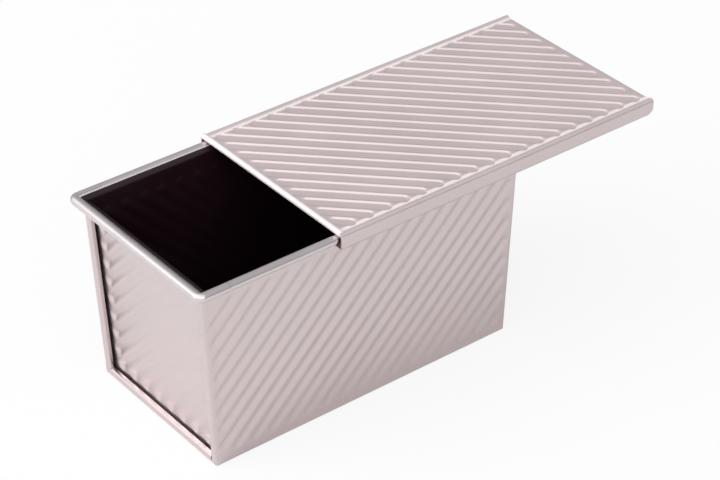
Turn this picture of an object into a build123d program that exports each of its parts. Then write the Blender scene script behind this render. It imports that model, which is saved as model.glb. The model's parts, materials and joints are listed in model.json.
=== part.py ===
from build123d import *
import os
from math import asin, atan, cos, degrees, floor, sin, sqrt, tan, radians

os.makedirs("parts", exist_ok=True)

# Lengths are millimetres. The origin is on the floor under the middle of the pan. +X runs along the long
# walls, and the lid is drawn out towards +X. Every wall is one sheet thick.

# The pan, over its folded seams
base_length = 186.0
base_width = 99.2
top_length = 196.2
top_width = 101.7
pan_height = 110.0
sheet = 0.8
floor_bend = 2.6  # outer radius between a long wall and the bottom

# Folded seams round the two end panels
seam_width = 4.4
seam_depth = 4.0
seam_gap = 0.1  # between the layers of sheet
seam_corner_gap = 0.5  # between the bottom fold and the upright folds
seam_rim_gap = 0.2  # between an upright fold and the flare above it
hook_gap = 0.4  # between the panel and the end of its own hook
fold_lap = 0.6  # how far a fold's outer layer runs in past the panel

# Wired rims: each wall flares out at its top and is rolled down round a wire
end_wire = 3.2
side_wire = 3.0
wire_fit = 0.1
end_rim_reach = 7.0  # from the face of an end panel out to the axis of its roll, past the seams
side_rim_reach = 3.8  # the same for a long wall
rim_flare = 50.0  # degrees
rim_bend = 1.0  # inner radius where a wall bends into its flare
rim_root = 3.0  # plain wall drawn with the rim's section, below the bend
roll_turn = 250.0  # degrees
lip_turn = 60.0  # degrees that are left of the roll near the corners
curl_setback = 12.0  # from a corner to the full curl of a long wall

# Pressed ribs, at 45 degrees to every edge
rib_step = 11.0  # along an edge
rib_first_share = 0.5  # of a step, from the middle of a field to its first rib
rib_width = 5.3
wall_rib_depth = 0.8
lid_rib_depth = 1.0
rib_flank = 50.0  # degrees from the sheet
rib_shortest = 9.0
rib_end_share = 0.29  # of a rib's width, chamfered off each corner to round its ends
side_rib_margin = 6.4  # from the seam's front edge to the ribs of the long walls
floor_rib_margin = 6.0  # from the bottom edge
rim_rib_margin = 2.6  # below the curl of a long wall
end_rib_margin = 3.4  # from the seam to the ribs of an end panel
end_rib_top_margin = 2.6  # below the flare

# Lid
lid_length = 204.5
lid_width = 118.0
lid_opening = 80.5  # from the axis of the front end bead to the front edge of the lid, as it stands open
lid_lift = 0.4  # between the pressed ribs of the lid and the rim
joggle_rise = 0.5
joggle_run = 0.9
rail_top_width = 2.2
rail_height = 8.9
rail_lip = 6.2  # width of the flange that runs under the curl
rail_bend = 1.6
rail_setback = 3.6  # rails start this far behind the front edge
rail_nip_length = 3.9
rail_nip_height = 2.9
lid_rib_margin = 4.6  # from the outer faces of the rails
lid_front_margin = 5.2
lid_rear_margin = 3.0
front_roll = 3.2  # outer diameter of the rolled front edge
roll_slit = 50.0  # degrees above the plate where the roll ends
stop_height = 6.0
stop_side_gap = 3.4  # from the outer face of a rail to the side of the stop

overrun = 2.0  # how far a cutter runs past what it cuts

# Slopes of the walls
end_slope = (top_length - base_length) / 2 / pan_height
side_slope = (top_width - base_width) / 2 / pan_height
end_lean = atan(end_slope)
side_lean = atan(side_slope)
seam_radius = seam_width / 2

# Rolled rims: outer radius, and height of the roll's axis
end_bead_radius = end_wire / 2 + wire_fit + sheet
side_curl_radius = side_wire / 2 + wire_fit + sheet
end_bead_height = pan_height - end_bead_radius
side_curl_height = pan_height - side_curl_radius


def half_length(z):
    """Half the pan's length over the seams, at height z."""
    return base_length / 2 + end_slope * z


def half_width(z):
    """Half the pan's width over the long walls, at height z."""
    return base_width / 2 + side_slope * z


def arc_band(centre, outer, start, turn):
    """The section of a sheet rolled round a centre: two arcs, one sheet apart, and their ends."""
    with BuildSketch() as band:
        with BuildLine():
            outside = CenterArc(centre, outer, start, turn)
            inside = CenterArc(centre, outer - sheet, start, turn)
            Line(outside @ 0, inside @ 0)
            Line(outside @ 1, inside @ 1)
        make_face()
    return band.sketch


def bend_height(radius, reach):
    """Height where a wall's face meets the line of its flare, measured from the axis of its roll."""
    return (radius - reach * cos(radians(rim_flare))) / sin(radians(rim_flare))


def flared_top(radius, reach):
    """The section of a wall's top about the axis of its roll: plain wall, then the flare up to the roll."""
    upper_bend = Vector(-reach - sheet, bend_height(radius, reach + sheet))
    under_bend = Vector(-reach, bend_height(radius - sheet, reach))
    to_roll = Vector(-cos(radians(rim_flare)), sin(radians(rim_flare)))
    with BuildSketch() as section:
        with BuildLine():
            Polyline(
                (upper_bend.X, under_bend.Y - rim_root),
                upper_bend,
                to_roll * radius,
                to_roll * (radius - sheet),
                under_bend,
                (under_bend.X, under_bend.Y - rim_root),
                close=True,
            )
        make_face()
        fillet(section.vertices().sort_by_distance(upper_bend)[0], rim_bend + sheet)
        fillet(section.vertices().sort_by_distance(under_bend)[0], rim_bend)
    return section.sketch


def rib_places(low, high, low_half, high_half):
    """Middle and length of each rib in a field that is symmetric about x = 0 and widens from low to high."""
    widening = (high_half - low_half) / (high - low)
    reach = floor((max(low_half, high_half) + max(abs(low), abs(high))) / rib_step) + 1
    places = []
    for number in range(-reach, reach + 1):
        start = (number + rib_first_share) * rib_step - (low + high) / 2
        bottom = max(low, (widening * low - low_half - start) / (1 + widening))
        top = min(high, (low_half - widening * low - start) / (1 - widening))
        if (top - bottom) * sqrt(2) > rib_shortest:
            middle = (top + bottom) / 2
            places.append((start + middle, middle, (top - bottom) * sqrt(2)))
    return places


def rib_field(places, growth, depth):
    """Tapered ribs that stand on the XY plane, with their ends rounded by chamfers."""
    with BuildPart() as field:
        with BuildSketch() as outlines:
            for x, y, length in places:
                with Locations((-x, y)):
                    Rectangle(length + 2 * growth, rib_width + 2 * growth, rotation=-45)
            chamfer(outlines.vertices(), (rib_width + 2 * growth) * rib_end_share)
        extrude(amount=depth, taper=90 - rib_flank)
    return field.part


def pressed(outer_face, places, depth):
    """What pressing ribs into a sheet adds behind its inner face, and takes from its outer face."""
    inward = Plane(origin=outer_face.origin, x_dir=-outer_face.x_dir, z_dir=-outer_face.z_dir)
    spread = sheet * tan(radians(rib_flank / 2))
    bosses = inward.offset(sheet).location * rib_field(places, spread, depth)
    pockets = inward.location * rib_field(places, 0, depth)
    return bosses, pockets


# Outer faces of the sheets, each with its x axis to the right and its y axis up as seen from outside
near_face = Plane(
    origin=(0, -base_width / 2, 0), x_dir=(1, 0, 0), z_dir=(0, -cos(side_lean), -sin(side_lean))
)
bottom_face = Plane(origin=(0, 0, 0), x_dir=(1, 0, 0), z_dir=(0, 0, -1))
panel_setback = seam_depth / cos(end_lean)
front_face = Plane(
    origin=(panel_setback - base_length / 2, 0, 0),
    x_dir=(0, -1, 0),
    z_dir=(-cos(end_lean), 0, -sin(end_lean)),
)
rear_face = Plane(
    origin=(base_length / 2 - panel_setback, 0, 0),
    x_dir=(0, 1, 0),
    z_dir=(cos(end_lean), 0, -sin(end_lean)),
)

# A fold turns round an axis inside the seam, and the panel's hook turns round the same axis. Their sections
# are drawn about it, with x running in from the wall's outer face and y running out to the seam's front.
throat = seam_depth - seam_radius  # from the panel to the axis
hook_radius = seam_radius - sheet - seam_gap

with BuildSketch() as fold_section:
    add(arc_band((0, 0), seam_radius, 0, 180))
    with Locations((-seam_radius, 0)):
        Rectangle(sheet, throat + fold_lap, align=(Align.MIN, Align.MAX))
    with Locations((seam_radius, 0)):
        Rectangle(sheet, throat - seam_gap - seam_radius * end_slope, align=(Align.MAX, Align.MAX))

with BuildSketch() as hook_section:
    add(arc_band((0, 0), hook_radius, 0, 180))
    with Locations((-hook_radius, 0)):
        Rectangle(sheet, throat + sheet, align=(Align.MIN, Align.MAX))
    with Locations((hook_radius, 0)):
        Rectangle(sheet, throat - hook_gap, align=(Align.MAX, Align.MAX))

# The axis inside the upright seam between the near wall and the front panel leans with both of them
edge = Vector(-end_slope, -side_slope, 1).normalized()
axis_foot = Vector(
    seam_radius / cos(end_lean) - base_length / 2, seam_radius / cos(side_lean) - base_width / 2, 0
)
hook_foot = seam_width + seam_corner_gap
upright_fold = Plane(origin=axis_foot, x_dir=-near_face.z_dir, z_dir=edge)
upright_hook = Plane(origin=axis_foot + edge * hook_foot, x_dir=front_face.z_dir.cross(edge), z_dir=edge)
bottom_axis = Vector(seam_radius / cos(end_lean) - half_length(seam_radius), 0, seam_radius)
bottom_fold = Plane(origin=bottom_axis, x_dir=(0, 0, 1), z_dir=(0, -1, 0))
bottom_hook = Plane(origin=bottom_axis, x_dir=front_face.y_dir, z_dir=(0, -1, 0))
bottom_fold_half = half_width(0) - hook_foot

# Heights along the leaning walls, measured from their feet: the rolls' axes, where the plain walls end below
# the flares, and the tops of the upright folds
panel_top = (end_bead_height + end_rim_reach * sin(end_lean)) / cos(end_lean)
wall_top = (side_curl_height + side_rim_reach * sin(side_lean)) / cos(side_lean)
panel_bend = panel_top + bend_height(end_bead_radius - sheet, end_rim_reach)
wall_bend = wall_top + bend_height(side_curl_radius - sheet, side_rim_reach)
seam_end = panel_bend - rim_bend * tan(radians(rim_flare / 2)) - seam_rim_gap
end_bead_plane = Plane(
    origin=front_face.from_local_coords((0, panel_top, end_rim_reach)),
    x_dir=front_face.z_dir,
    z_dir=(0, 1, 0),
)
near_curl_plane = Plane(
    origin=near_face.from_local_coords((0, wall_top, side_rim_reach)),
    x_dir=near_face.z_dir,
    z_dir=(-1, 0, 0),
)
end_bead_half = -near_curl_plane.origin.Y
curl_half = half_length(side_curl_height) - curl_setback
long_enough = half_length(pan_height) + overrun
wide_enough = half_width(pan_height) + overrun
roll_start = 180 - rim_flare

# Rib fields, kept clear of the seams, the bends and the rims
wall_low = floor_rib_margin
wall_high = side_curl_height - side_curl_radius - rim_rib_margin
wall_ribs = rib_places(
    wall_low, wall_high, half_length(wall_low) - side_rib_margin, half_length(wall_high) - side_rib_margin
)
floor_reach = half_width(0) - floor_rib_margin
floor_ribs = rib_places(
    -floor_reach, floor_reach, half_length(0) - side_rib_margin, half_length(0) - side_rib_margin
)
end_rib_side = seam_width + end_rib_margin
end_low = end_rib_side
end_high = seam_end - end_rib_top_margin
end_ribs = rib_places(
    end_low, end_high, half_width(end_low) - end_rib_side, half_width(end_high) - end_rib_side
)

near_bosses, near_pockets = pressed(near_face, wall_ribs, wall_rib_depth)
far_bosses, far_pockets = (ribs.rotate(Axis.Z, 180) for ribs in (near_bosses, near_pockets))
floor_bosses, floor_pockets = pressed(bottom_face, floor_ribs, wall_rib_depth)
panel_bosses, panel_pockets = pressed(front_face, end_ribs, wall_rib_depth)

# The folds that close the trough round its panels, for one corner and then mirrored to all four, and cut to
# the rounded outline of the trough
with BuildPart() as trough_folds:
    with BuildSketch(upright_fold):
        add(fold_section.sketch)
    extrude(amount=seam_end)
    with BuildSketch(bottom_fold):
        add(fold_section.sketch)
    extrude(amount=bottom_fold_half, both=True)
    mirror(about=Plane.XZ)
    mirror(about=Plane.YZ)
    with BuildSketch(Plane.YZ) as trough_outline:
        with BuildLine():
            Polyline(
                (-half_width(pan_height), pan_height),
                (-half_width(0), 0),
                (half_width(0), 0),
                (half_width(pan_height), pan_height),
                close=True,
            )
        make_face()
        fillet(trough_outline.vertices().group_by(Axis.Z)[0], floor_bend)
    extrude(amount=long_enough, both=True, mode=Mode.INTERSECT)

# One sheet forms both long walls and the bottom, with the rims along its two long edges. Above the folds the
# long walls run on to the end beads.
near_foot = (-half_width(0), 0)
near_root = near_face.from_local_coords((0, wall_bend - rim_root, 0))
with BuildPart() as trough_sheet:
    with BuildSketch(Plane.YZ):
        with BuildLine():
            skin = FilletPolyline(
                (near_root.Y, near_root.Z),
                near_foot,
                (-near_foot[0], near_foot[1]),
                (-near_root.Y, near_root.Z),
                radius=floor_bend,
            )
            offset(skin, amount=sheet, side=Side.LEFT)
        make_face()
    extrude(amount=long_enough, both=True)
    with BuildSketch(near_curl_plane):
        add(flared_top(side_curl_radius, side_rim_reach))
        add(arc_band((0, 0), side_curl_radius, roll_start, -lip_turn))
    near_lip = extrude(amount=long_enough, both=True)
    with BuildSketch(near_curl_plane):
        add(arc_band((0, 0), side_curl_radius, roll_start, -roll_turn))
    near_curl = extrude(amount=curl_half, both=True)
    mirror([near_lip, near_curl], about=Plane.XZ)
    for face in (front_face, rear_face):
        split(bisect_by=face.offset(seam_depth - seam_rim_gap), keep=Keep.BOTTOM)
        with BuildSketch(face):
            Rectangle(2 * wide_enough, seam_end, align=(Align.CENTER, Align.MIN))
        extrude(amount=seam_depth, mode=Mode.SUBTRACT)
    add(trough_folds.part)
    add([near_bosses, far_bosses, floor_bosses])
    add([near_pockets, far_pockets, floor_pockets], mode=Mode.SUBTRACT)
trough_sheet.part.label = "trough_sheet"
export_step(trough_sheet.part, "parts/trough_sheet.step")

# An end panel stands inside the seam, hooked into the folds on three sides. Its top flares out over the folds
# and is rolled round the wire.
plate_gap = sheet + seam_gap
panel_root = panel_bend - rim_root
with BuildPart() as front_end_panel:
    with BuildSketch(front_face) as plate:
        with BuildLine():
            Polyline(
                (-half_width(plate_gap) + plate_gap, plate_gap),
                (half_width(plate_gap) - plate_gap, plate_gap),
                (half_width(panel_root) - plate_gap, panel_root),
                (-half_width(panel_root) + plate_gap, panel_root),
                close=True,
            )
        make_face()
        fillet(plate.vertices().group_by(Axis.Z)[0], floor_bend)
    extrude(amount=-sheet)
    with BuildSketch(end_bead_plane):
        add(flared_top(end_bead_radius, end_rim_reach))
    extrude(amount=half_width(panel_root) - plate_gap, both=True)
    with BuildSketch(end_bead_plane):
        add(arc_band((0, 0), end_bead_radius, roll_start, -roll_turn))
    extrude(amount=end_bead_half, both=True)
    with BuildSketch(upright_hook):
        add(hook_section.sketch)
    near_hook = extrude(amount=seam_end - hook_foot - seam_gap)
    mirror(near_hook, about=Plane.XZ)
    with BuildSketch(bottom_hook):
        add(hook_section.sketch)
    extrude(amount=bottom_fold_half, both=True)
    add(panel_bosses)
    add(panel_pockets, mode=Mode.SUBTRACT)
front_end_panel.part.label = "front_end_panel"
export_step(front_end_panel.part, "parts/front_end_panel.step")

with BuildPart() as rear_end_panel:
    add(front_end_panel.part.rotate(Axis.Z, 180))
rear_end_panel.part.label = "rear_end_panel"
export_step(rear_end_panel.part, "parts/rear_end_panel.step")

# Steel wires inside the rolled rims, flush with the ends of the rolls
with BuildPart() as front_rim_wire:
    with BuildSketch(end_bead_plane):
        Circle(end_wire / 2)
    extrude(amount=end_bead_half, both=True)
front_rim_wire.part.label = "front_rim_wire"
export_step(front_rim_wire.part, "parts/front_rim_wire.step")

with BuildPart() as rear_rim_wire:
    add(front_rim_wire.part.rotate(Axis.Z, 180))
rear_rim_wire.part.label = "rear_rim_wire"
export_step(rear_rim_wire.part, "parts/rear_rim_wire.step")

with BuildPart() as near_rim_wire:
    with BuildSketch(near_curl_plane):
        Circle(side_wire / 2)
    extrude(amount=curl_half, both=True)
near_rim_wire.part.label = "near_rim_wire"
export_step(near_rim_wire.part, "parts/near_rim_wire.step")

with BuildPart() as far_rim_wire:
    add(near_rim_wire.part.rotate(Axis.Z, 180))
far_rim_wire.part.label = "far_rim_wire"
export_step(far_rim_wire.part, "parts/far_rim_wire.step")

# The lid, drawn open. Its ribs run just above the rim, its long sides turn down and in under the curls, its
# front edge is rolled and its rear edge is folded down to stop against the rear end bead.
lid_front = end_bead_plane.origin.X + lid_opening
lid_rear = lid_front + lid_length
lid_top = pan_height + lid_lift + lid_rib_depth + sheet
rail_top = lid_top + joggle_rise
rail_bottom = rail_top - rail_height
rail_side = lid_width / 2
joggle_foot = rail_side - rail_top_width - joggle_run
roll_radius = front_roll / 2
roll_axis = (lid_front + roll_radius, pan_height + lid_lift + roll_radius)
lid_plate = Plane(
    origin=((lid_front + lid_front_margin + lid_rear - lid_rear_margin) / 2, 0, lid_top),
    x_dir=(0, 1, 0),
    z_dir=(0, 0, 1),
)
lid_reach = (lid_length - lid_front_margin - lid_rear_margin) / 2
lid_rib_side = rail_side - lid_rib_margin
lid_bosses, lid_pockets = pressed(
    lid_plate, rib_places(-lid_reach, lid_reach, lid_rib_side, lid_rib_side), lid_rib_depth
)

rail_corners = joggle_foot + joggle_run
with BuildPart() as lid_sheet:
    with BuildSketch(Plane.YZ.offset(lid_front + rail_setback)) as lid_section:
        with BuildLine():
            Polyline(
                (-joggle_foot, lid_top),
                (joggle_foot, lid_top),
                (rail_corners, rail_top),
                (rail_side, rail_top),
                (rail_side, rail_bottom),
                (-rail_side, rail_bottom),
                (-rail_side, rail_top),
                (-rail_corners, rail_top),
                close=True,
            )
        make_face()
        fillet(lid_section.vertices().filter_by(lambda corner: abs(corner.X) > rail_corners), rail_bend)
        offset(amount=-sheet, mode=Mode.SUBTRACT)
        with Locations((0, rail_bottom)):
            lip_opening = 2 * (rail_side - rail_lip)
            Rectangle(lip_opening, rail_bend, align=(Align.CENTER, Align.MIN), mode=Mode.SUBTRACT)
    extrude(amount=lid_length - rail_setback)
    with BuildSketch(Plane.XY.offset(lid_top)):
        with Locations((lid_front + rail_setback, 0)):
            Rectangle(rail_setback - roll_radius, 2 * joggle_foot, align=(Align.MAX, Align.CENTER))
    extrude(amount=-sheet)
    with BuildSketch(Plane.XZ):
        plate_angle = degrees(asin((lid_top - roll_axis[1]) / roll_radius))
        add(arc_band(roll_axis, roll_radius, roll_slit, 360 + plate_angle - roll_slit))
    extrude(amount=rail_side, both=True)
    with BuildSketch(Plane.XZ):
        with BuildLine():
            Polyline(
                (lid_rear, rail_bottom),
                (lid_rear - rail_nip_length, rail_bottom),
                (lid_rear, rail_bottom + rail_nip_height),
                close=True,
            )
        make_face()
    extrude(amount=rail_side, both=True, mode=Mode.SUBTRACT)
    with BuildSketch(Plane.XY.offset(lid_top)):
        with Locations((lid_rear, 0)):
            Rectangle(sheet, 2 * (rail_side - stop_side_gap), align=(Align.MAX, Align.CENTER))
    extrude(amount=-stop_height)
    add(lid_bosses)
    add(lid_pockets, mode=Mode.SUBTRACT)
lid_sheet.part.label = "lid_sheet"
export_step(lid_sheet.part, "parts/lid_sheet.step")
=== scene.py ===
import bpy
import json
from math import asin, atan, cos, degrees, floor, hypot, radians, sin, sqrt, tan
from mathutils import Matrix, Vector

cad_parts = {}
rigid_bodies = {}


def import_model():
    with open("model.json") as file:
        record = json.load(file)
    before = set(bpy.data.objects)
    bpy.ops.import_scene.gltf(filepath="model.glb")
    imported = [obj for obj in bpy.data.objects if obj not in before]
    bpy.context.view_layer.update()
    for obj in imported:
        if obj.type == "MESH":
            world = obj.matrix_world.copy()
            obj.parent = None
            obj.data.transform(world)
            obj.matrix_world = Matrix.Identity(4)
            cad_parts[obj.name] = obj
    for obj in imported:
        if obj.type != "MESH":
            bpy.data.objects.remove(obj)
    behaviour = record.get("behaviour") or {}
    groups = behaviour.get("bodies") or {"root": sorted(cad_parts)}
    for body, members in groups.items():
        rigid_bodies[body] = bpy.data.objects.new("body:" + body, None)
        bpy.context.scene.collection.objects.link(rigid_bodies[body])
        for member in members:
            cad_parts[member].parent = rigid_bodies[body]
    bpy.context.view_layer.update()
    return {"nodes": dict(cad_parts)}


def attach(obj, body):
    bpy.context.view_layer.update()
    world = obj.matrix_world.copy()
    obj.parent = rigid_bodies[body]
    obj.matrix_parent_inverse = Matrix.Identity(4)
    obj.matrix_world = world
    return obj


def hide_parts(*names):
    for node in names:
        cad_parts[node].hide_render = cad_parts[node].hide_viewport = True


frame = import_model()
mm = 0.001  # the sizes of the pieces are in millimetres
print("frame loaded")

# the sheet metal that all the pieces are pressed from
sheet = {
    "thick": 0.8,
    "cell": 1.0,  # grid spacing of a blank, the same both ways so that ribs at 45 degrees stay clean
    "ribStep": 11.0,
    "ribShortest": 9.0,
    "shortCellShare": 0.3,  # a flat's last cell is at least this share of a cell
    "close": 0.02,  # rows nearer than this are one row
    "weld": 0.01,  # points nearer than this are merged
    "smoothAngle": 40,
}


def deselectAll():
    for thing in bpy.context.view_layer.objects:
        thing.select_set(False)


def walk(point, heading, moves, cell=sheet["cell"]):
    # rows of a bent sheet's section, as (point, outer normal, zone, distance along the zone)
    # a flat is (zone, length)
    # a bend is (zone, radius of the sheet's outer face, degrees to the left, pieces)
    rows = []
    for zone, size, *bend in moves:
        way = Vector((cos(radians(heading)), sin(radians(heading))))
        if bend:
            turn, pieces = bend
            side = 1 if turn > 0 else -1
            left = Vector((-way.y, way.x)) * side
            centre = point + left * size
            for piece in range(pieces + 1):
                angle = radians(turn * piece / pieces)
                spoke = Matrix.Rotation(angle, 2) @ -left
                rows.append((centre + spoke * size, spoke * side, zone, size * abs(angle)))
            heading += turn
        else:
            right = Vector((way.y, -way.x))
            steps = [step * cell for step in range(floor(size / cell - sheet["shortCellShare"]) + 1)]
            for along in steps + [size]:
                rows.append((point + way * along, right, zone, along))
        point = rows[-1][0]
    clean = [rows[0]]
    for row in rows[1:]:
        if (row[0] - clean[-1][0]).length > sheet["close"]:
            clean.append(row)
    return clean


def bendFlat(radius, turn):
    # length of flat that a bend takes from the corner on each side
    return radius * tan(radians(turn / 2))


def ribField(low, high, lowHalf, highHalf, press):
    # the ribs of one field by number, each with its middle and its length
    # a rib runs along x - y = press["first"] + its number of steps
    step = sheet["ribStep"]
    widening = (highHalf - lowHalf) / (high - low)
    reach = floor((max(lowHalf, highHalf) + max(abs(low), abs(high)) + abs(press["first"])) / step) + 1
    ribs = {}
    for number in range(-reach, reach + 1):
        start = number * step + press["first"]
        bottom = max(low, (widening * low - lowHalf - start) / (1 + widening))
        top = min(high, (lowHalf - widening * low - start) / (1 - widening))
        if (top - bottom) * sqrt(2) > sheet["ribShortest"]:
            middle = (top + bottom) / 2
            ribs[number] = (start + middle, middle, (top - bottom) * sqrt(2))
    return {"ribs": ribs, **press}


def ribDepth(field, x, y):
    # how far the press has pushed the sheet in at (x, y): round ends, sloping flanks
    number = round((x - y - field["first"]) / sheet["ribStep"])
    if number not in field["ribs"]:
        return 0
    middleX, middleY, length = field["ribs"][number]
    half = field["width"] / 2
    across = (x - middleX - y + middleY) / sqrt(2)
    along = abs(x - middleX + y - middleY) / sqrt(2)
    away = hypot(across, max(0, along - length / 2 + half))
    return field["depth"] * min(1, max(0, (half - away) / field["flank"]))


def pressBlank(name, columns, rows, place):
    # a flat grid becomes the outer face of a formed sheet
    # place(column, row) gives a point, or None for a cut-out
    deselectAll()
    bpy.ops.mesh.primitive_grid_add(x_subdivisions=columns - 1, y_subdivisions=rows - 1, size=1)
    blank = bpy.context.object
    blank.name = name
    blank.data.name = name
    cutOut = []
    for corner in blank.data.vertices:
        column = round((corner.co.x + 0.5) * (columns - 1))
        row = round((corner.co.y + 0.5) * (rows - 1))
        spot = place(column, row)
        if spot is None:
            cutOut.append(corner.index)
        else:
            corner.co = Vector(spot) * mm
    bpy.ops.object.mode_set(mode="EDIT")
    bpy.ops.mesh.select_mode(type="VERT")
    bpy.ops.mesh.select_all(action="DESELECT")
    bpy.ops.object.mode_set(mode="OBJECT")
    for index in cutOut:
        blank.data.vertices[index].select = True
    bpy.ops.object.mode_set(mode="EDIT")
    bpy.ops.mesh.delete(type="VERT")
    bpy.ops.mesh.select_all(action="SELECT")
    bpy.ops.mesh.remove_doubles(threshold=sheet["weld"] * mm)
    bpy.ops.mesh.quads_convert_to_tris(quad_method="SHORTEST_DIAGONAL")  # the creases then follow the ribs
    bpy.ops.object.mode_set(mode="OBJECT")
    return blank


def giveThickness(piece, finishes):
    # the sheet grows inward from its outer face
    # that face has the first finish, and the inner face takes the second
    for finish in finishes:
        piece.data.materials.append(finish)
    deselectAll()
    piece.select_set(True)
    bpy.context.view_layer.objects.active = piece
    shell = piece.modifiers.new("thickness", "SOLIDIFY")
    shell.thickness = sheet["thick"] * mm
    shell.offset = -1
    shell.use_even_offset = True
    shell.material_offset = 1
    shell.material_offset_rim = 0
    bpy.ops.object.modifier_apply(modifier=shell.name)
    bpy.ops.object.shade_smooth_by_angle(angle=radians(sheet["smoothAngle"]))


def copyTurned(piece, name):
    # a second piece, turned half round the upright axis
    deselectAll()
    piece.select_set(True)
    bpy.context.view_layer.objects.active = piece
    bpy.ops.object.duplicate()
    twin = bpy.context.object
    twin.name = name
    twin.data.name = name
    twin.data.transform(Matrix.Rotation(radians(180), 4, "Z"))
    return twin


# finishes: slow clouds in the colour and the gloss, and a fine grain
finishNoise = {
    "cloudDetail": 4,
    "cloudRange": (0.3, 0.7),  # the part of the clouds' values that spreads over the gloss
    "grainScale": 2600,
    "grainDetail": 2,
    "grainHeight": 0.02,
    "coatSpecular": 0.4,  # of the dark coating
}


def mixColor(nodes, links, factor, first, second):
    # among the sockets of a mix, 6 and 7 are its colours and output 2 is the colour that results
    mix = nodes.new("ShaderNodeMix")
    mix.data_type = "RGBA"
    mix.inputs[6].default_value = (*first, 1)
    mix.inputs[7].default_value = (*second, 1)
    links.new(factor, mix.inputs[0])
    return mix.outputs[2]


def sheetFinish(name, dark, light, metal, roughLow, roughHigh, cloudScale, grainDepth):
    finish = bpy.data.materials.new(name)
    finish.use_nodes = True
    nodes = finish.node_tree.nodes
    links = finish.node_tree.links
    shader = nodes["Principled BSDF"]
    shader.inputs["Metallic"].default_value = metal
    where = nodes.new("ShaderNodeTexCoord").outputs["Object"]
    clouds = nodes.new("ShaderNodeTexNoise")
    clouds.inputs["Scale"].default_value = cloudScale
    clouds.inputs["Detail"].default_value = finishNoise["cloudDetail"]
    links.new(where, clouds.inputs["Vector"])
    links.new(mixColor(nodes, links, clouds.outputs["Fac"], dark, light), shader.inputs["Base Color"])
    gloss = nodes.new("ShaderNodeMapRange")
    gloss.inputs["From Min"].default_value = finishNoise["cloudRange"][0]
    gloss.inputs["From Max"].default_value = finishNoise["cloudRange"][1]
    gloss.inputs["To Min"].default_value = roughLow
    gloss.inputs["To Max"].default_value = roughHigh
    links.new(clouds.outputs["Fac"], gloss.inputs["Value"])
    links.new(gloss.outputs["Result"], shader.inputs["Roughness"])
    grain = nodes.new("ShaderNodeTexNoise")
    grain.inputs["Scale"].default_value = finishNoise["grainScale"]
    grain.inputs["Detail"].default_value = finishNoise["grainDetail"]
    links.new(where, grain.inputs["Vector"])
    bump = nodes.new("ShaderNodeBump")
    bump.inputs["Strength"].default_value = grainDepth
    bump.inputs["Distance"].default_value = finishNoise["grainHeight"] * mm
    links.new(grain.outputs["Fac"], bump.inputs["Height"])
    links.new(bump.outputs["Normal"], shader.inputs["Normal"])
    return finish


# darker and lighter colour, metal, least and most roughness, scale of the clouds, depth of the grain
satinOutside = sheetFinish("satinOutside", (0.66, 0.57, 0.57), (0.71, 0.62, 0.62), 1.0, 0.26, 0.34, 30, 0.25)
satinPanel = sheetFinish("satinPanel", (0.67, 0.59, 0.60), (0.72, 0.63, 0.63), 1.0, 0.32, 0.40, 30, 0.25)
# the lid's satin is a lighter copy of the pan's, though it is the same metal: painted light on the lid's
# up-facing top
litSatinLid = sheetFinish("litSatinLid", (0.90, 0.77, 0.78), (0.95, 0.82, 0.83), 1.0, 0.34, 0.42, 30, 0.25)
# a paler, duller copy of the steel: painted highlight for the bright line along the inner edge of the rolled
# rims
lipHighlightEdge = sheetFinish("lipHighlightEdge", (0.78, 0.71, 0.73), (0.84, 0.77, 0.78), 0.6, 0.50, 0.60, 40, 0.2)
rollSteel = sheetFinish("rollSteel", (0.66, 0.61, 0.62), (0.72, 0.67, 0.68), 1.0, 0.22, 0.30, 40, 0.2)
# a paler, more diffuse copy of the satin: painted highlight for the flat strips beside the lid's ribs and
# for the lid's roll
lidHighlight = sheetFinish("lidHighlight", (0.84, 0.76, 0.77), (0.90, 0.82, 0.83), 0.3, 0.45, 0.55, 40, 0.2)
darkCoat = sheetFinish("darkCoat", (0.011, 0.002, 0.004), (0.018, 0.004, 0.008), 0.0, 0.45, 0.55, 25, 0.25)
wireSteel = sheetFinish("wireSteel", (0.42, 0.41, 0.41), (0.48, 0.47, 0.47), 1.0, 0.25, 0.35, 60, 0.2)
coatShader = darkCoat.node_tree.nodes["Principled BSDF"]
coatShader.inputs["Specular IOR Level"].default_value = finishNoise["coatSpecular"]


def coat(piece, choose):
    # the finishes after the first two go where choose(spot) gives their number
    for face in piece.data.polygons:
        number = choose(face.center / mm)
        if number is not None:
            face.material_index = number


def finishPiece(piece, body, slot, *nodes):
    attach(piece, body)
    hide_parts(*nodes)
    print(piece.name, len(piece.data.polygons), "faces")


# the pan's main form
pan = {
    "baseLength": 186.0,
    "baseWidth": 99.2,
    "topLength": 196.2,
    "topWidth": 101.7,
    "height": 110.0,
    "floorBend": 1.0,
    "seamWidth": 4.4,
    "seamDepth": 4.0,  # the end panels stand this far inside the seams
    "seamGap": 0.1,
    "seamRimGap": 0.2,  # between an upright fold and the flare above it
    "foldCorner": 0.5,  # 1 is a round fold, less is squarer
    "foldLeg": 0.3,  # what is left of a fold past its bend
}
rim = {
    "endRoll": 2.5,  # outer radius
    "sideRoll": 2.4,
    "endReach": 7.0,  # from the face of a wall out to the axis of its roll
    "sideReach": 3.8,
    "flare": 50.0,
    "bend": 1.0,
    "rollTurn": 250.0,
    "bendPieces": 6,
    "rollPieces": 22,
    "corner": 2.6,  # plan radius of the roll's axis
    "coatEdge": -2.6,  # the dark coating ends this far inside the roll's axis
    # the painted highlight line runs from the coating's edge up to this far inside the roll's axis
    "lipHighlightEdge": -2.0,
    "underRoll": 0.2,  # the bare steel goes this far below the rolls
    "setback": 12.0,  # the side rolls end this far short of the end walls
    "gap": 0.1,  # between the end roll, once round the corner, and the side roll
}
thick = sheet["thick"]
endSlope = (pan["topLength"] - pan["baseLength"]) / 2 / pan["height"]
sideSlope = (pan["topWidth"] - pan["baseWidth"]) / 2 / pan["height"]
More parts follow.
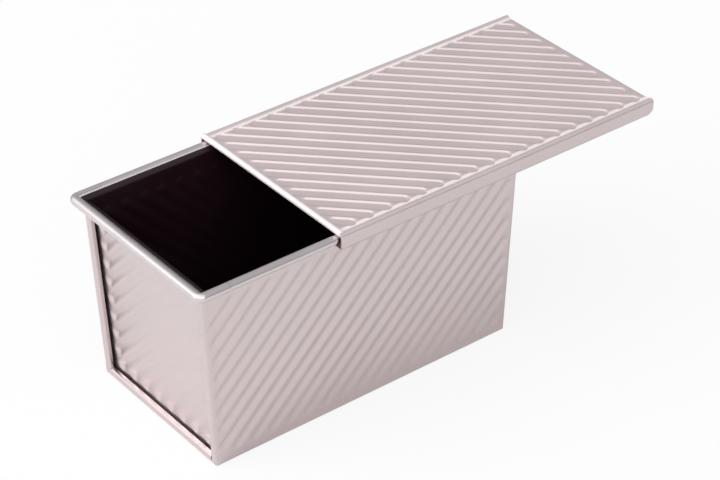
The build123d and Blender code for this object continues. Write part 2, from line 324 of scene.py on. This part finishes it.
endLean = degrees(atan(endSlope))
sideLean = degrees(atan(sideSlope))
seamRadius = pan["seamWidth"] / 2


def halfLength(z):
    return pan["baseLength"] / 2 + endSlope * z


def halfWidth(z):
    return pan["baseWidth"] / 2 + sideSlope * z


def flareDrop(radius, reach):
    # how far below the roll's axis the wall's outer face meets its flare
    return (reach * cos(radians(rim["flare"])) - radius + thick) / sin(radians(rim["flare"]))


def flareLength(radius, reach):
    # from that corner up to where the roll begins
    return (reach - (radius - thick) * cos(radians(rim["flare"]))) / sin(radians(rim["flare"]))


def rimMoves(radius, reach):
    corner = bendFlat(rim["bend"], rim["flare"])
    return [
        ("flareBend", rim["bend"], -rim["flare"], rim["bendPieces"]),
        ("flare", flareLength(radius, reach) - corner),
        ("roll", radius - thick, -rim["rollTurn"], rim["rollPieces"]),
    ]


def axisHeight(radius, reach, lean):
    # the height of a roll's axis, measured along the leaning wall
    return (pan["height"] - radius + reach * sin(radians(lean))) / cos(radians(lean))


endAxis = axisHeight(rim["endRoll"], rim["endReach"], endLean)
sideAxis = axisHeight(rim["sideRoll"], rim["sideReach"], sideLean)
panelBend = endAxis - flareDrop(rim["endRoll"], rim["endReach"])
wallBend = sideAxis - flareDrop(rim["sideRoll"], rim["sideReach"])
flareCorner = bendFlat(rim["bend"], rim["flare"])
seamTop = panelBend - flareCorner - pan["seamRimGap"]
curlHalf = floor(halfLength(pan["height"] - rim["sideRoll"]) - rim["setback"])

endRollOut = halfLength(0) - pan["seamDepth"] / cos(radians(endLean))
endRollOut += endAxis * sin(radians(endLean)) + rim["endReach"] * cos(radians(endLean))
sideRollOut = halfWidth(0) + sideAxis * sin(radians(sideLean)) + rim["sideReach"] * cos(radians(sideLean))
print("roll axes", round(endRollOut, 2), round(sideRollOut, 2))


def rimFinish(spot):
    # bare steel, finish 2, on the rolls, and a painted highlight line, finish 3, beside the coating for the
    # bright inner edge of the lip
    ahead = abs(spot.x) - endRollOut + rim["corner"]
    aside = abs(spot.y) - sideRollOut + rim["corner"]
    reach = hypot(ahead, aside) if min(ahead, aside) > 0 else max(ahead, aside)
    past = reach - rim["corner"]
    if past < rim["coatEdge"] or spot.z < pan["height"] - 2 * rim["endRoll"] - rim["underRoll"]:
        return None
    return 3 if past < rim["lipHighlightEdge"] else 2


# half of the trough: half the bottom, one long wall and its rim, folded over at both ends
trough = {
    "ribLow": 6.0,  # from the corner, up the wall and in along the bottom
    "ribHigh": 98.4,
    "ribSide": 3.2,  # from the ends
    "wallPress": {"first": -0.5, "width": 6.8, "flank": 2.8, "depth": 0.6},
    "floorPress": {"first": 5.5, "width": 6.8, "flank": 2.4, "depth": 0.7},
    "straightHalf": 88,  # columns up to here stay square, and the rest spread to the slanting end
    "marginColumns": 8,
    "foldPieces": 12,
    "cornerPieces": 7,
    "bottomFoldEnd": 4.45,  # the bottom fold stops this far short of the long walls
    "cornerFoldTurn": 60,  # the fold of the corner itself ends here
    "lipColumns": 2,  # past the end of the wall, above the seam
    "lipGap": 0.2,
}
cornerTurn = 90 - sideLean
cornerFlat = bendFlat(pan["floorBend"], cornerTurn)
troughRows = walk(
    Vector((0, 0)),
    0,
    [
        ("bottom", halfWidth(0) - cornerFlat),
        ("corner", pan["floorBend"], cornerTurn, trough["cornerPieces"]),
        ("wall", wallBend - cornerFlat - flareCorner),
    ]
    + rimMoves(rim["sideRoll"], rim["sideReach"]),
)
wallRibs = ribField(
    trough["ribLow"],
    trough["ribHigh"],
    halfLength(trough["ribLow"]) - trough["ribSide"],
    halfLength(trough["ribHigh"]) - trough["ribSide"],
    trough["wallPress"],
)
floorReach = halfWidth(0) - trough["ribLow"]
floorHalf = halfLength(0) - trough["ribSide"]
floorRibs = ribField(-floorReach, floorReach, floorHalf, floorHalf, trough["floorPress"])
sideColumns = trough["marginColumns"] + trough["foldPieces"] + 1
straightColumns = 2 * trough["straightHalf"] + 1
endOut = Vector((cos(radians(endLean)), -sin(radians(endLean))))  # along the wall, square to the seam


def troughPlace(column, row):
    # column 0 is the free end of the -X fold and the last column that of the +X fold
    point, normal, zone, along = troughRows[row]
    x = column - sideColumns - trough["straightHalf"]
    side = 1 if x > 0 else -1
    beyond = abs(x) - trough["straightHalf"]
    out, up = point
    edge = halfLength(max(0, up)) - seamRadius
    if beyond <= 0:
        reach = abs(x)
    elif beyond <= trough["marginColumns"]:
        reach = trough["straightHalf"] + (edge - trough["straightHalf"]) * beyond / trough["marginColumns"]
    else:
        reach = edge
    press = 0
    if zone == "wall":
        press = ribDepth(wallRibs, side * reach, along + cornerFlat)
    elif zone == "bottom":
        press = ribDepth(floorRibs, side * reach, out)
    place = Vector((side * reach, -out, up)) - Vector((0, -normal.x, normal.y)) * press
    fold = beyond - trough["marginColumns"]
    aboveSeam = zone != "bottom" and up > seamTop
    if zone == "roll" and abs(x) > curlHalf:
        return None
    if fold > 0:
        if aboveSeam:
            if fold > trough["lipColumns"]:
                return None
            past = seamRadius - trough["lipGap"]
            if zone == "flare":
                past = max(past, endRollOut + out - sideRollOut - edge)
            step = fold * past / trough["lipColumns"]
            return place + Vector((side * step * endOut.x, 0, step * endOut.y))
        turn = 180 * min(fold, trough["foldPieces"]) / trough["foldPieces"]
        if zone == "corner" and turn > trough["cornerFoldTurn"]:
            return None
        if zone == "bottom" and turn > 90 and out > halfWidth(0) - trough["bottomFoldEnd"]:
            return None
        step = seamRadius * abs(sin(radians(turn))) ** pan["foldCorner"]
        bulge = abs(cos(radians(turn))) ** pan["foldCorner"]
        inward = seamRadius * (1 - bulge if turn < 90 else 1 + bulge)
        back = pan["foldLeg"] if fold > trough["foldPieces"] else 0
        outAlong = Vector((side * endOut.x, 0, endOut.y if zone != "bottom" else 0))
        return place + outAlong * (step - back) - Vector((0, -normal.x, normal.y)) * inward
    return place


troughNear = pressBlank("troughNear", straightColumns + 2 * sideColumns, len(troughRows), troughPlace)
giveThickness(troughNear, (satinOutside, darkCoat, rollSteel, lipHighlightEdge))
coat(troughNear, rimFinish)
troughFar = copyTurned(troughNear, "troughFar")
for half in (troughNear, troughFar):
    finishPiece(half, "pan", "pan_sheet", "trough_sheet")

# end panels, set back inside the folds, flared over them and rolled at the top
panel = {
    "ribSide": 2.4,  # from the seams
    "ribTop": 1.6,
    "press": {"first": -3.4, "width": 6.8, "flank": 2.8, "depth": 1.2},
    "hook": 1.8,
    "hookBend": 0.6,
    "hookPieces": 5,
    "plateHalf": 44,  # columns up to here stay square
    "sideColumns": 5,
    "cornerColumns": 10,  # round each corner of the roll
    "armColumns": 4,
    "tightest": 0.05,  # rows with a smaller plan radius don't go round the corner
    "flareEndStep": 0.5,  # the flare goes this far round it
}
panelInset = thick + pan["seamGap"]
hookFlat = bendFlat(panel["hookBend"], 90 + endLean)
hookFoot = halfLength(panelInset + thick) - pan["seamDepth"]
panelRows = walk(
    Vector((hookFoot + panel["hook"] + hookFlat, panelInset + thick)),
    180,
    [
        ("hook", panel["hook"]),
        ("hookBend", panel["hookBend"], -90 - endLean, panel["hookPieces"]),
        ("plate", panelBend - panelInset - thick - hookFlat - flareCorner),
    ]
    + rimMoves(rim["endRoll"], rim["endReach"]),
)
endLow = pan["seamWidth"] + panel["ribSide"]
endHigh = seamTop - panel["ribTop"]
endRibs = ribField(
    endLow, endHigh, halfWidth(endLow) - endLow, halfWidth(endHigh) - endLow, panel["press"]
)
rollRow = max(row for row, entry in enumerate(panelRows) if entry[2] == "flare")  # where the roll begins
plateHalf = panel["plateHalf"]
outerColumns = panel["sideColumns"] + panel["cornerColumns"] + panel["armColumns"]
panelColumns = 2 * (plateHalf + outerColumns) + 1


def panelPlace(column, row):
    # seen from outside the front end, columns run to the right, which is -Y
    point, normal, zone, along = panelRows[row]
    x = column - outerColumns - plateHalf
    side = 1 if x > 0 else -1
    beyond = abs(x) - plateHalf
    out, up = point
    inside = rim["corner"] + out - endRollOut  # plan radius of this row's bend
    if zone != "roll" and inside < panel["tightest"]:
        full = max(sideRollOut + out - endRollOut, halfWidth(up) - panelInset)
    else:
        full = sideRollOut - rim["corner"]
    if zone == "plate" or zone.startswith("hook"):
        full = halfWidth(up) - panelInset
    if beyond <= panel["sideColumns"]:
        reach = abs(x) if beyond <= 0 else plateHalf + (full - plateHalf) * beyond / panel["sideColumns"]
        press = ribDepth(endRibs, side * reach, up) if zone == "plate" else 0
        return Vector((-out + normal.x * press, -side * reach, up - normal.y * press))
    if zone not in ("flare", "roll") or inside < panel["tightest"]:
        return None
    step = (beyond - panel["sideColumns"]) / panel["cornerColumns"]
    if zone == "flare" and along < panelRows[rollRow][3] and step > panel["flareEndStep"]:
        return None
    if step <= 1:
        angle = radians(90 * step)
        ahead = endRollOut - rim["corner"] + inside * cos(angle)
        return Vector((-ahead, -side * (full + inside * sin(angle)), up))
    armEnd = curlHalf + rim["gap"]
    arm = (beyond - panel["sideColumns"] - panel["cornerColumns"]) / panel["armColumns"]
    ahead = endRollOut - rim["corner"]
    return Vector((-ahead + (ahead - armEnd) * arm, -side * (full + inside), up))


frontPanel = pressBlank("frontPanel", panelColumns, len(panelRows), panelPlace)
giveThickness(frontPanel, (satinPanel, darkCoat, rollSteel, lipHighlightEdge))
coat(frontPanel, rimFinish)
rearPanel = copyTurned(frontPanel, "rearPanel")
finishPiece(frontPanel, "pan", "panel_sheet", "front_end_panel")
finishPiece(rearPanel, "pan", "panel_sheet", "rear_end_panel")

# the lid: a ribbed plate with its rails and rear stop, and the roll along its front edge
lid = {
    "length": 205.97,
    "width": 118.0,
    "front": -21.96,  # x of the front edge, as in the photo
    "lift": 0.1,  # of the roll over the rims
    "cell": sheet["ribStep"] / 13,  # fine enough for the sharp ribs, and whole cells to a step
    "ribLift": 0.1,  # of the ribs over the rims
    "press": {"width": 6.8, "flank": 0.8, "depth": 0.6},
    "joggleRise": 0.5,
    "joggleRun": 0.9,
    "joggleBend": 0.6,
    "jogglePieces": 2,
    "railTop": 2.2,
    "railHeight": 9.1,
    "railLip": 6.2,
    "railBend": 1.6,
    "railPieces": 6,
    "rollSetback": 1.2,  # the rails cover the ends of the roll
    "nipLength": 3.9,  # the rails' lower rear corners are clipped off this far and this high
    "nipHeight": 2.9,
    "ribMargin": 5.4,
    "frontMargin": 3.6,
    "rearMargin": 4.6,
    "ribPhase": 4.6,  # a rib's middle crosses the pan's long axis this far from the origin
    "roll": 1.6,
    "rollSlit": 50.0,
    "rollColumns": 24,
    "rollRows": 30,
    "stopHeight": 6.0,
    "stopGap": 3.4,  # from the stop's ends to the sides of the rails
    "stopBend": 1.2,
    "stopPieces": 5,
    "highlightMargin": 0.4,  # the strips of painted highlight reach this far in among the ends of the ribs
    "highlightGap": 0.2,  # from the joggle, and from the rib floors up
    "railEdge": 0.1,  # faces this near to the wall of a rail count as its side
}
lidTop = pan["height"] + lid["ribLift"] + lid["press"]["depth"] + thick
railTop = lidTop + lid["joggleRise"]
railBottom = railTop - lid["railHeight"]
railSide = lid["width"] / 2
joggleAngle = degrees(atan(lid["joggleRise"] / lid["joggleRun"]))
joggleFoot = railSide - lid["railTop"] - lid["joggleRun"]
joggleLength = hypot(lid["joggleRise"], lid["joggleRun"])
joggleBend = bendFlat(lid["joggleBend"], joggleAngle)
railCorner = lid["railBend"]
railMoves = [
    ("lip", lid["railLip"] - railCorner),
    ("railBend", railCorner, -90, lid["railPieces"]),
    ("rail", lid["railHeight"] - 2 * railCorner),
    ("railBend", railCorner, -90, lid["railPieces"]),
    ("railTop", lid["railTop"] - railCorner - joggleBend),
    ("joggle", lid["joggleBend"], -joggleAngle, lid["jogglePieces"]),
    ("joggle", joggleLength - 2 * joggleBend),
    ("joggle", lid["joggleBend"], joggleAngle, lid["jogglePieces"]),
]
lidRows = walk(
    Vector((lid["railLip"] - railSide, railBottom)),
    180,
    railMoves + [("plate", 2 * (joggleFoot - joggleBend))] + railMoves[::-1],
    lid["cell"],
)
lidRear = lid["front"] + lid["length"]
lidMiddle = (lid["front"] + lid["frontMargin"] + lidRear - lid["rearMargin"]) / 2
lidReach = (lid["length"] - lid["frontMargin"] - lid["rearMargin"]) / 2
lidRibSide = railSide - lid["ribMargin"]
lidPress = {"first": lid["ribPhase"] - lidMiddle, **lid["press"]}
lidRibs = ribField(-lidReach, lidReach, lidRibSide, lidRibSide, lidPress)
lidColumns = walk(
    Vector((lid["front"] + lid["roll"] - lid["cell"], lidTop)),
    0,
    [
        ("flat", lid["length"] - lid["roll"] + lid["cell"] - lid["stopBend"]),
        ("stopBend", lid["stopBend"], -90, lid["stopPieces"]),
        ("stop", lid["stopHeight"] - lid["stopBend"]),
    ],
    lid["cell"],
)


def lidPlace(column, row):
    # the rails start one column ahead of the plate, whose front edge is inside the roll
    y, z = lidRows[row][0]
    zone = lidRows[row][2]
    flat, part = lidColumns[column][0], lidColumns[column][2]
    x, drop = flat.x, flat.y - lidTop
    bendStart = lidRear - lid["stopBend"] - sheet["weld"]
    if zone != "plate":
        if part != "flat" and drop < -sheet["weld"]:
            return None
        if column > 0 and lidColumns[column - 1][0].x > bendStart:
            return None
        if x > bendStart:
            x = lidRear
        nip = lid["nipLength"] * (1 - (z - railBottom) / lid["nipHeight"])
        x = min(x, lidRear - max(0, nip))
        return Vector((x, y, z))
    if column == 0:
        return None
    if part != "flat":
        if abs(y) > railSide - lid["stopGap"]:
            return None
        return Vector((x, y, z + drop))
    press = ribDepth(lidRibs, y, lidMiddle - x)
    return Vector((x, y, z - press))


lidSheet = pressBlank("lidSheet", len(lidColumns), len(lidRows), lidPlace)
giveThickness(lidSheet, (litSatinLid, litSatinLid, satinOutside, lidHighlight))

rollHeight = pan["height"] + lid["lift"] + lid["roll"]
plateAngle = degrees(asin((lidTop - rollHeight) / lid["roll"]))
rollRows = walk(
    Vector((lid["front"] + lid["roll"] * (1 + cos(radians(plateAngle))), lidTop)),
    270 + plateAngle,
    [("roll", lid["roll"], -(360 + plateAngle - lid["rollSlit"]), lid["rollRows"])],
)
rollHalf = railSide - lid["rollSetback"]


def rollPlace(column, row):
    point = rollRows[row][0]
    return Vector((point.x, rollHalf * (1 - 2 * column / lid["rollColumns"]), point.y))


lidRoll = pressBlank("lidRoll", lid["rollColumns"] + 1, len(rollRows), rollPlace)
# the lid's roll takes the painted highlight finish all round
giveThickness(lidRoll, (lidHighlight, lidHighlight))


def lidFinish(spot):
    # the sides of the rails take the pan's darker satin, finish 2, as painted shade beside the lid's lighter
    # top, and the flat strips beside the ribs a painted highlight, finish 3
    if abs(spot.y) > railSide - thick - lid["railEdge"] and spot.z < railTop - thick:
        return 2
    beside = lidRibSide - lid["highlightMargin"] < abs(spot.y) < joggleFoot - lid["highlightGap"]
    return 3 if beside and spot.z > lidTop - lid["highlightGap"] else None


coat(lidSheet, lidFinish)
finishPiece(lidSheet, "lid", "lid_sheet", "lid_sheet")
finishPiece(lidRoll, "lid", "lid_sheet", "lid_sheet")

# the wires inside the rolls stay as the frame has them
for wire in ("front_rim_wire", "rear_rim_wire", "near_rim_wire", "far_rim_wire"):
    node = frame["nodes"][wire]
    node.data.materials.clear()
    node.data.materials.append(wireSteel)
print("wires finished")

# floor, light and camera, in metres
studio = {
    "floorSize": 6.0,
    "floorColor": (0.8, 0.8, 0.8),
    "floorRough": 0.9,
    "cameraShare": 0.85,  # how far the floor is plain white to the camera
    "bright": (-0.86, -0.14, 0.5),  # where the light comes from
    # the sky's levels from the dark side, at 0, to the bright side, at 1
    "levels": ((0.0, 0.5), (0.56, 0.55), (0.62, 0.75), (0.76, 1.3), (1.0, 1.5)),
    "levelUnit": 2,  # the sky's ramp ends at 1, so it holds the levels in this unit
    "horizonShare": 0.7,  # of the level higher up
    "horizonTop": 0.5,  # higher up begins at this z of the direction
    "keyPower": 9,
    "keySize": 0.9,
    "keyPlace": (-1.3, 0.5, 1.0),
    "fillPower": 2,
    "fillSize": 0.8,
    "fillPlace": (-0.4, -1.4, 0.9),
    "aim": (0, 0, 0.06),
}


def whiteToCamera(name, color):
    # pale in reflections and to the light that falls on it, and nearly white to the camera
    backdrop = bpy.data.materials.new(name)
    backdrop.use_nodes = True
    nodes = backdrop.node_tree.nodes
    links = backdrop.node_tree.links
    shader = nodes["Principled BSDF"]
    shader.inputs["Base Color"].default_value = (*color, 1)
    shader.inputs["Roughness"].default_value = studio["floorRough"]
    glow = nodes.new("ShaderNodeEmission")
    glow.inputs["Strength"].default_value = 1
    ray = nodes.new("ShaderNodeLightPath")
    share = nodes.new("ShaderNodeMath")
    share.operation = "MULTIPLY"
    share.inputs[1].default_value = studio["cameraShare"]
    links.new(ray.outputs["Is Camera Ray"], share.inputs[0])
    blend = nodes.new("ShaderNodeMixShader")
    links.new(share.outputs[0], blend.inputs[0])
    links.new(shader.outputs[0], blend.inputs[1])
    links.new(glow.outputs[0], blend.inputs[2])
    links.new(blend.outputs[0], nodes["Material Output"].inputs["Surface"])
    return backdrop


deselectAll()
bpy.ops.mesh.primitive_plane_add(size=studio["floorSize"])
floorPlane = bpy.context.object
floorPlane.name = "studioFloor"
floorPlane.data.materials.append(whiteToCamera("paleFloor", studio["floorColor"]))

world = bpy.data.worlds.new("studioWorld")
bpy.context.scene.world = world
world.use_nodes = True
sky = world.node_tree.nodes["Background"]
skyNodes = world.node_tree.nodes
skyLinks = world.node_tree.links
direction = skyNodes.new("ShaderNodeTexCoord")
facing = skyNodes.new("ShaderNodeVectorMath")
facing.operation = "DOT_PRODUCT"
facing.inputs[1].default_value = Vector(studio["bright"]).normalized() / 2
skyLinks.new(direction.outputs["Generated"], facing.inputs[0])
centred = skyNodes.new("ShaderNodeMath")
centred.operation = "ADD"
centred.inputs[1].default_value = 0.5
skyLinks.new(facing.outputs["Value"], centred.inputs[0])
dome = skyNodes.new("ShaderNodeValToRGB")
skyLinks.new(centred.outputs[0], dome.inputs["Fac"])
stops = dome.color_ramp.elements
stops.remove(stops[1])
for number, (place, level) in enumerate(studio["levels"]):
    stop = stops[0] if number == 0 else stops.new(place)
    gray = level / studio["levelUnit"]
    stop.color = (gray, gray, gray, 1)
upward = skyNodes.new("ShaderNodeSeparateXYZ")
skyLinks.new(direction.outputs["Generated"], upward.inputs[0])
height = skyNodes.new("ShaderNodeMapRange")
height.inputs["From Max"].default_value = studio["horizonTop"]
height.inputs["To Min"].default_value = studio["levelUnit"] * studio["horizonShare"]
height.inputs["To Max"].default_value = studio["levelUnit"]
skyLinks.new(upward.outputs["Z"], height.inputs["Value"])
skyLinks.new(dome.outputs["Color"], sky.inputs["Color"])
skyLinks.new(height.outputs["Result"], sky.inputs["Strength"])


def addSoftbox(name, power, size, place):
    lamp = bpy.data.lights.new(name, "AREA")
    lamp.energy = power
    lamp.size = size
    holder = bpy.data.objects.new(name, lamp)
    bpy.context.scene.collection.objects.link(holder)
    holder.location = place
    holder.rotation_euler = (Vector(studio["aim"]) - Vector(place)).to_track_quat("-Z", "Y").to_euler()


addSoftbox("keySoftbox", studio["keyPower"], studio["keySize"], studio["keyPlace"])
addSoftbox("fillSoftbox", studio["fillPower"], studio["fillSize"], studio["fillPlace"])

cameraView = {
    "azimuth": -37.73,
    "elevation": 33.97,
    "roll": 0.37,
    "distance": 1.27323,
    "right": 0.02768,
    "above": 0.05767,
    "focal": 2428.74,  # in pixels of the picture
    "pictureWidth": 720,
    "sensorWidth": 36,
    "clipStart": 0.01,
}
azimuth = radians(cameraView["azimuth"])
elevation = radians(cameraView["elevation"])
backward = Vector((sin(azimuth) * cos(elevation), -cos(azimuth) * cos(elevation), sin(elevation)))
levelRight = Vector((0, 0, 1)).cross(backward).normalized()
turn = Matrix.Rotation(radians(-cameraView["roll"]), 3, backward)
right = turn @ levelRight
above = turn @ backward.cross(levelRight)
lens = bpy.data.cameras.new("photoCamera")
lens.sensor_width = cameraView["sensorWidth"]
lens.lens = cameraView["focal"] / cameraView["pictureWidth"] * cameraView["sensorWidth"]
lens.clip_start = cameraView["clipStart"]
camera = bpy.data.objects.new("photoCamera", lens)
bpy.context.scene.collection.objects.link(camera)
camera.matrix_world = Matrix.Translation(
    backward * cameraView["distance"] + right * cameraView["right"] + above * cameraView["above"]
) @ Matrix((right, above, backward)).transposed().to_4x4()
bpy.context.scene.camera = camera
bpy.context.scene.view_settings.view_transform = "Standard"
print("studio ready")
